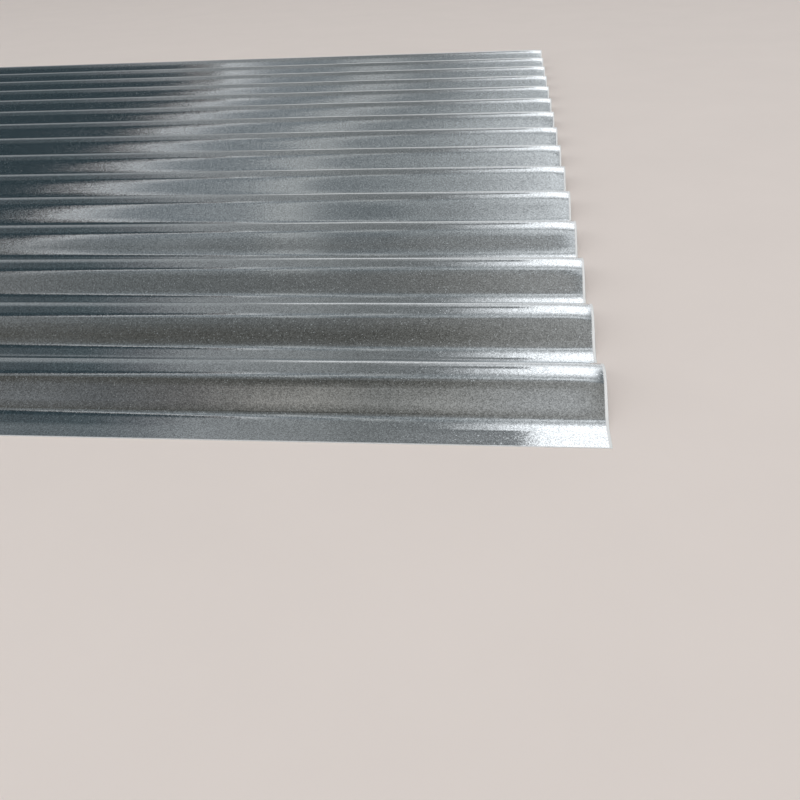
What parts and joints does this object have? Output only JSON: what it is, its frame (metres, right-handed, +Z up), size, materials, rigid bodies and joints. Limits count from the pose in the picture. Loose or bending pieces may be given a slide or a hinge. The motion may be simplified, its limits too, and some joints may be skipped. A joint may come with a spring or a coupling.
{
  "type": "corrugated metal sheet",
  "caption": "Galvanised steel roofing sheet, roll-formed into round waves along its length, for roofs, walls and fences.",
  "frame": {"origin": "under the middle of the sheet, on the floor that its valleys rest on", "axes": "+X along the waves, +Y across them from the lip past the first valley to the lip past the last crest, +Z up"},
  "size_m": [2.44, 1.118, 0.018],
  "materials": {
    "galvanised_steel": "bright hot-dip zinc, smooth, with small spangle and fine rolling streaks along the waves"
  },
  "bodies": {
    "root": {"corrugated_sheet": "galvanised_steel"}
  },
  "joints": []
}
